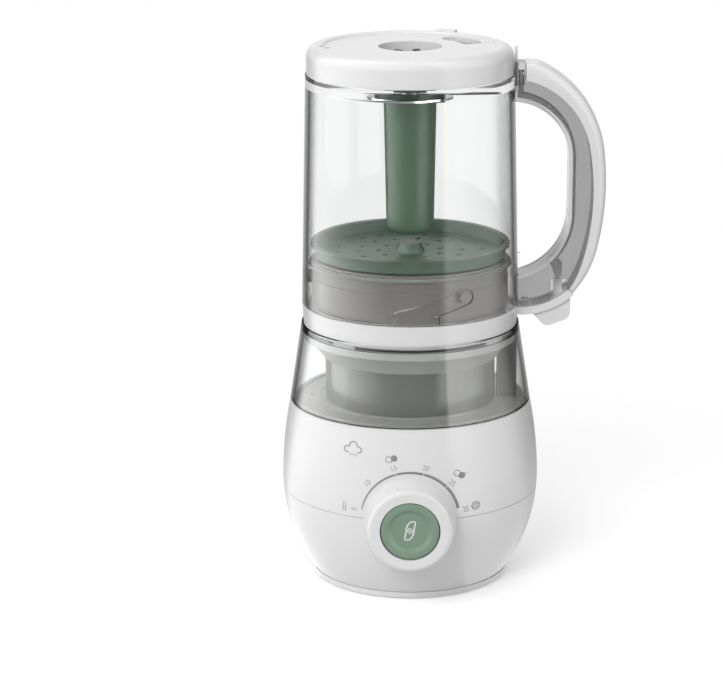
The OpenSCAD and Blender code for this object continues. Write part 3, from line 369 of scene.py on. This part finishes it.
# Above these heights, the jar's thick closed end and the tank's rim bend light less than their
# walls do, and stay light.
CLEAR_ENDS = {"jar_body": 0.2864, "tank_shell": 0.1465}
for name, from_z in CLEAR_ENDS.items():
    o = nodes[name]
    o.data.materials.append(M["clear_end"])
    heights = [(o.matrix_world @ v.co).z for v in o.data.vertices]
    for f in o.data.polygons:
        if min(heights[i] for i in f.vertices) > from_z:
            f.material_index = 1

# ---------------------------------------------------------------- flat shapes
# Each is a pair of points in millimetres and faces.


def strip(points, widths, closed=False):
    """A band along a line of points, with one width or a width for each point."""
    n = len(points)
    if not isinstance(widths, (list, tuple)):
        widths = [widths] * n
    pts = []
    for i, (x, y) in enumerate(points):
        a = points[(i - 1) % n] if closed or i else points[0]
        b = points[(i + 1) % n] if closed or i < n - 1 else points[-1]
        dx, dy = b[0] - a[0], b[1] - a[1]
        k = widths[i] / 2 / max(1e-9, math.hypot(dx, dy))
        pts += [(x - dy * k, y + dx * k), (x + dy * k, y - dx * k)]
    last = n if closed else n - 1
    quads = [(2 * i, 2 * i + 1, (2 * i + 3) % (2 * n), (2 * i + 2) % (2 * n))
             for i in range(last)]
    return pts, quads


def disc(cx, cy, r, n=20):
    """A round face with a ring at half its radius, so that it follows a curved surface."""
    pts = [(cx, cy)]
    for ring in (r / 2, r):
        for i in range(n):
            a = 2 * math.pi * i / n
            pts.append((cx + ring * math.cos(a), cy + ring * math.sin(a)))
    faces = []
    for i in range(n):
        j = (i + 1) % n
        faces += [(0, 1 + i, 1 + j), (1 + i, 1 + n + i, 1 + n + j, 1 + j)]
    return pts, faces


def circle(cx, cy, r, a0=0, a1=360, n=24):
    """Points on an arc from one angle to another."""
    return [(cx + r * math.cos(math.radians(a0 + (a1 - a0) * i / n)),
             cy + r * math.sin(math.radians(a0 + (a1 - a0) * i / n))) for i in range(n + 1)]


def joined(*parts):
    pts, faces = [], []
    for p, q in parts:
        k = len(pts)
        pts += p
        faces += [tuple(k + i for i in f) for f in q]
    return pts, faces


def number(text, height):
    """A plain number, centred, as triangles."""
    c = bpy.data.curves.new("n", "FONT")
    c.body = text
    c.size = height * 1.4              # a font's size for digits of this height
    c.align_x = "CENTER"
    c.align_y = "CENTER"
    c.resolution_u = 3
    o = bpy.data.objects.new("n", c)
    scene.collection.objects.link(o)
    bpy.context.view_layer.update()
    me = bpy.data.meshes.new_from_object(o.evaluated_get(bpy.context.evaluated_depsgraph_get()))
    bm = bmesh.new()
    bm.from_mesh(me)
    bmesh.ops.triangulate(bm, faces=bm.faces)
    bmesh.ops.remove_doubles(bm, verts=bm.verts, dist=1e-4)
    bm.verts.index_update()
    pts = [(v.co.x, v.co.y) for v in bm.verts]
    tris = [tuple(v.index for v in f.verts) for f in bm.faces]
    bm.free()
    bpy.data.objects.remove(o)
    bpy.data.meshes.remove(me)
    return pts, tris


# ---------------------------------------------------------------- added pieces

KNOB_Z = 52.8                          # height of the dial's centre
INK_LIFT = 0.07                        # of the print's middle above its surface
INK_THICK = 0.04
RAY_START = -0.2                       # in front of the object
MISS_Y = -0.07                         # where a ray that slips between two faces lands


def target(*names):
    """A ray target made of CAD nodes at rest."""
    verts, faces = [], []
    for n in names:
        me = nodes[n].data
        k = len(verts)
        verts += [v.co.copy() for v in me.vertices]
        faces += [[k + i for i in f.vertices] for f in me.polygons]
    return BVHTree.FromPolygons(verts, faces)


def add(name, verts, faces, body, slot, material=None):
    """A smooth mesh that rides a body, in its slot's material unless another is given."""
    me = bpy.data.meshes.new(name)
    me.from_pydata(verts, [], faces)
    me.materials.append(material or M[slot])
    for f in me.polygons:
        f.use_smooth = True
    me.update()
    o = bpy.data.objects.new(name, me)
    scene.collection.objects.link(o)
    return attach(o, body)


def place(shape, r, angle, lean=None):
    """Moves a shape drawn about 0, 0 to a radius and clock angle on the dial, where it stands
    along the radius unless lean gives its own angle."""
    pts, faces = shape
    a = math.radians(angle)
    t = math.radians(angle if lean is None else lean)
    cx, cz = r * math.sin(a), r * math.cos(a)
    return [(cx + x * math.cos(t) + y * math.sin(t), cz - x * math.sin(t) + y * math.cos(t))
            for x, y in pts], faces


def printed(name, shape, material, onto, body="base", slot="white_abs"):
    """Ink on a surface that faces the front: each point is dropped on it along +Y."""
    pts, faces = shape
    verts = []
    for x, z in pts:
        x, z = x * MM, (z + KNOB_Z) * MM
        hit = onto.ray_cast(Vector((x, RAY_START, z)), Vector((0, 1, 0)))[0]
        y = MISS_Y if hit is None else hit.y
        verts.append((x, y - INK_LIFT * MM, z))
    o = add(name, verts, faces, body, slot, material)
    s = o.modifiers.new("thick", "SOLIDIFY")
    s.thickness = INK_THICK * MM
    s.offset = 0


housing = target("upper_shell", "lower_shell")

# The time scale is an arc that swells from left to right, with a gap at three of its marks.
ARC_R = 27.5
ARC_UP = 0.8                           # its centre above the dial's
ARC_ENDS = (-80.5, 78.4)
ARC_GAPS = (-16.8, 16.1, 47.8)
HALF_GAP = 0.45
ARC_STEP = 1.5
ARC_THIN, ARC_SWELL, SWELL_TURN = 0.55, 1.05, 130


def time_scale():
    start, stop = ARC_ENDS
    edges = [start] + [g + side * HALF_GAP for g in ARC_GAPS for side in (-1, 1)] + [stop]
    parts = []
    for a0, a1 in zip(edges[::2], edges[1::2]):
        n = max(8, int((a1 - a0) / ARC_STEP))
        line, widths = [], []
        for i in range(n + 1):
            a = a0 + (a1 - a0) * i / n
            swell = min(1.0, max(0.0, (a - start) / SWELL_TURN))
            line.append((ARC_R * math.sin(math.radians(a)),
                         ARC_R * math.cos(math.radians(a)) + ARC_UP))
            widths.append(ARC_THIN + ARC_SWELL * swell ** 0.8)
        parts.append(strip(line, widths))
    return joined(*parts)


printed("scale_arc", time_scale(), M["ink"], housing)

MARKS = (("5", -80.8), ("10", -48.7), ("15", -16.8), ("20", 16.1), ("25", 47.8), ("30", 80.3))
MARKS_R = 31.8
MARK_HEIGHT = 3.0
for text, angle in MARKS:
    mark = place(number(text, MARK_HEIGHT), MARKS_R, angle)
    printed("scale_" + text, mark, M["ink_pale"], housing)

# Generic pictograms stand beside the scale.
CLOUD_LOBES = [(-3.0, -0.6, 1.7, 290, 75), (0.5, 1.8, 2.1, 195, -5), (3.4, -0.4, 1.6, 95, -110)]
cloud = [point for lobe in CLOUD_LOBES for point in circle(*lobe, n=10)]
drops = [strip([(x - 0.3, -2.6), (x + 0.2, -3.3), (x - 0.3, -4.0)], 0.4)
         for x in (-1.2, 0.4, 2.0)]
fruit = joined(strip(circle(-1.6, 0, 1.7), 0.4), disc(1.5, 0, 1.8),
               strip([(-0.2, -1.5), (0.6, 1.6)], 0.3))
root = joined(fruit, strip([(2.6, 1.6), (3.2, 2.2)], 0.4))
turns = [2 * math.pi * i / 48 for i in range(48)]
radii = [2.1 + 0.35 * math.cos(8 * a) for a in turns]
gear = [(r * math.cos(a), r * math.sin(a)) for r, a in zip(radii, turns)]
grain = joined(strip(gear, 0.5, True), strip(circle(0, 0, 0.9), 0.4))
stem = [(-0.7, -1.0), (-0.7, 2.0), (-0.3, 2.6), (0.3, 2.6), (0.7, 2.0), (0.7, -1.0)]
thaw = joined(strip(stem, 0.35), strip(circle(0, -1.7, 1.0), 0.35))
PICTOGRAMS = (
    ("icon_steam", joined(strip(cloud, 0.55), *drops), 51.1, -39, 0, "ink"),
    ("icon_fruit", fruit, 37.3, -16.1, None, "ink"),
    ("icon_root", root, 37.9, 47, 30, "ink"),
    ("icon_grain", grain, 37.5, 80.3, 0, "ink"),
    ("icon_thaw", thaw, 37.5, -80.9, 0, "ink_pale"),
)
for name, shape, r, angle, lean, ink in PICTOGRAMS:
    printed(name, place(shape, r, angle, lean), M[ink], housing)


def lathe(profile, steps=96):
    """A closed profile of radius and distance in front of the jar's axis, turned about the
    dial's."""
    verts, rows = [], []
    for r, y in profile:
        rows.append([len(verts) + (i if r else 0) for i in range(steps)])
        for i in range(steps if r else 1):
            a = 2 * math.pi * i / steps
            verts.append((r * MM * math.sin(a), -y * MM, (KNOB_Z + r * math.cos(a)) * MM))
    faces = []
    for low, high in zip(rows, rows[1:] + rows[:1]):
        for i in range(steps):
            j = (i + 1) % steps
            face = list(dict.fromkeys((low[i], low[j], high[j], high[i])))
            if len(face) > 2:
                faces.append(face)
    return verts, faces


# The button has the pan and the raised rim that its CAD node lacks.
BUTTON = [
    (0, 87.9), (14.9, 87.9), (14.9, 81.4), (16.5, 81.4), (16.5, 90.4), (16.4, 90.9),
    (16.1, 91.35), (15.6, 91.7), (15.0, 91.88), (14.4, 91.9), (13.2, 91.9), (12.6, 91.8),
    (12.1, 91.5), (11.6, 91.05), (11.1, 90.6), (10.6, 90.25), (10.0, 90.05), (9.3, 90.0),
    (6.0, 90.05), (3.0, 90.1), (0, 90.1)]
button_verts, button_faces = lathe(BUTTON)
button_cap = add("button_cap", button_verts, button_faces, "button", "button_green")
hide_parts("blend_button")
button_face = BVHTree.FromPolygons([Vector(v) for v in button_verts], button_faces)

BLADE_HALF = [(3.07, 5.27), (2.75, 3.4), (2.35, 1.2), (2.2, -0.6), (1.75, -2.4), (0.9, -4.0),
              (-0.3, -5.1), (-1.8, -5.35)]
blade = BLADE_HALF + [(-x, -y) for x, y in BLADE_HALF]
sign = joined(strip(blade, 0.85, True), strip(circle(0, 0, 1.35, n=28), 0.6), disc(0, 0, 0.55))
printed("blade_sign", sign, M["ink_white"], button_face, body="button", slot="button_green")
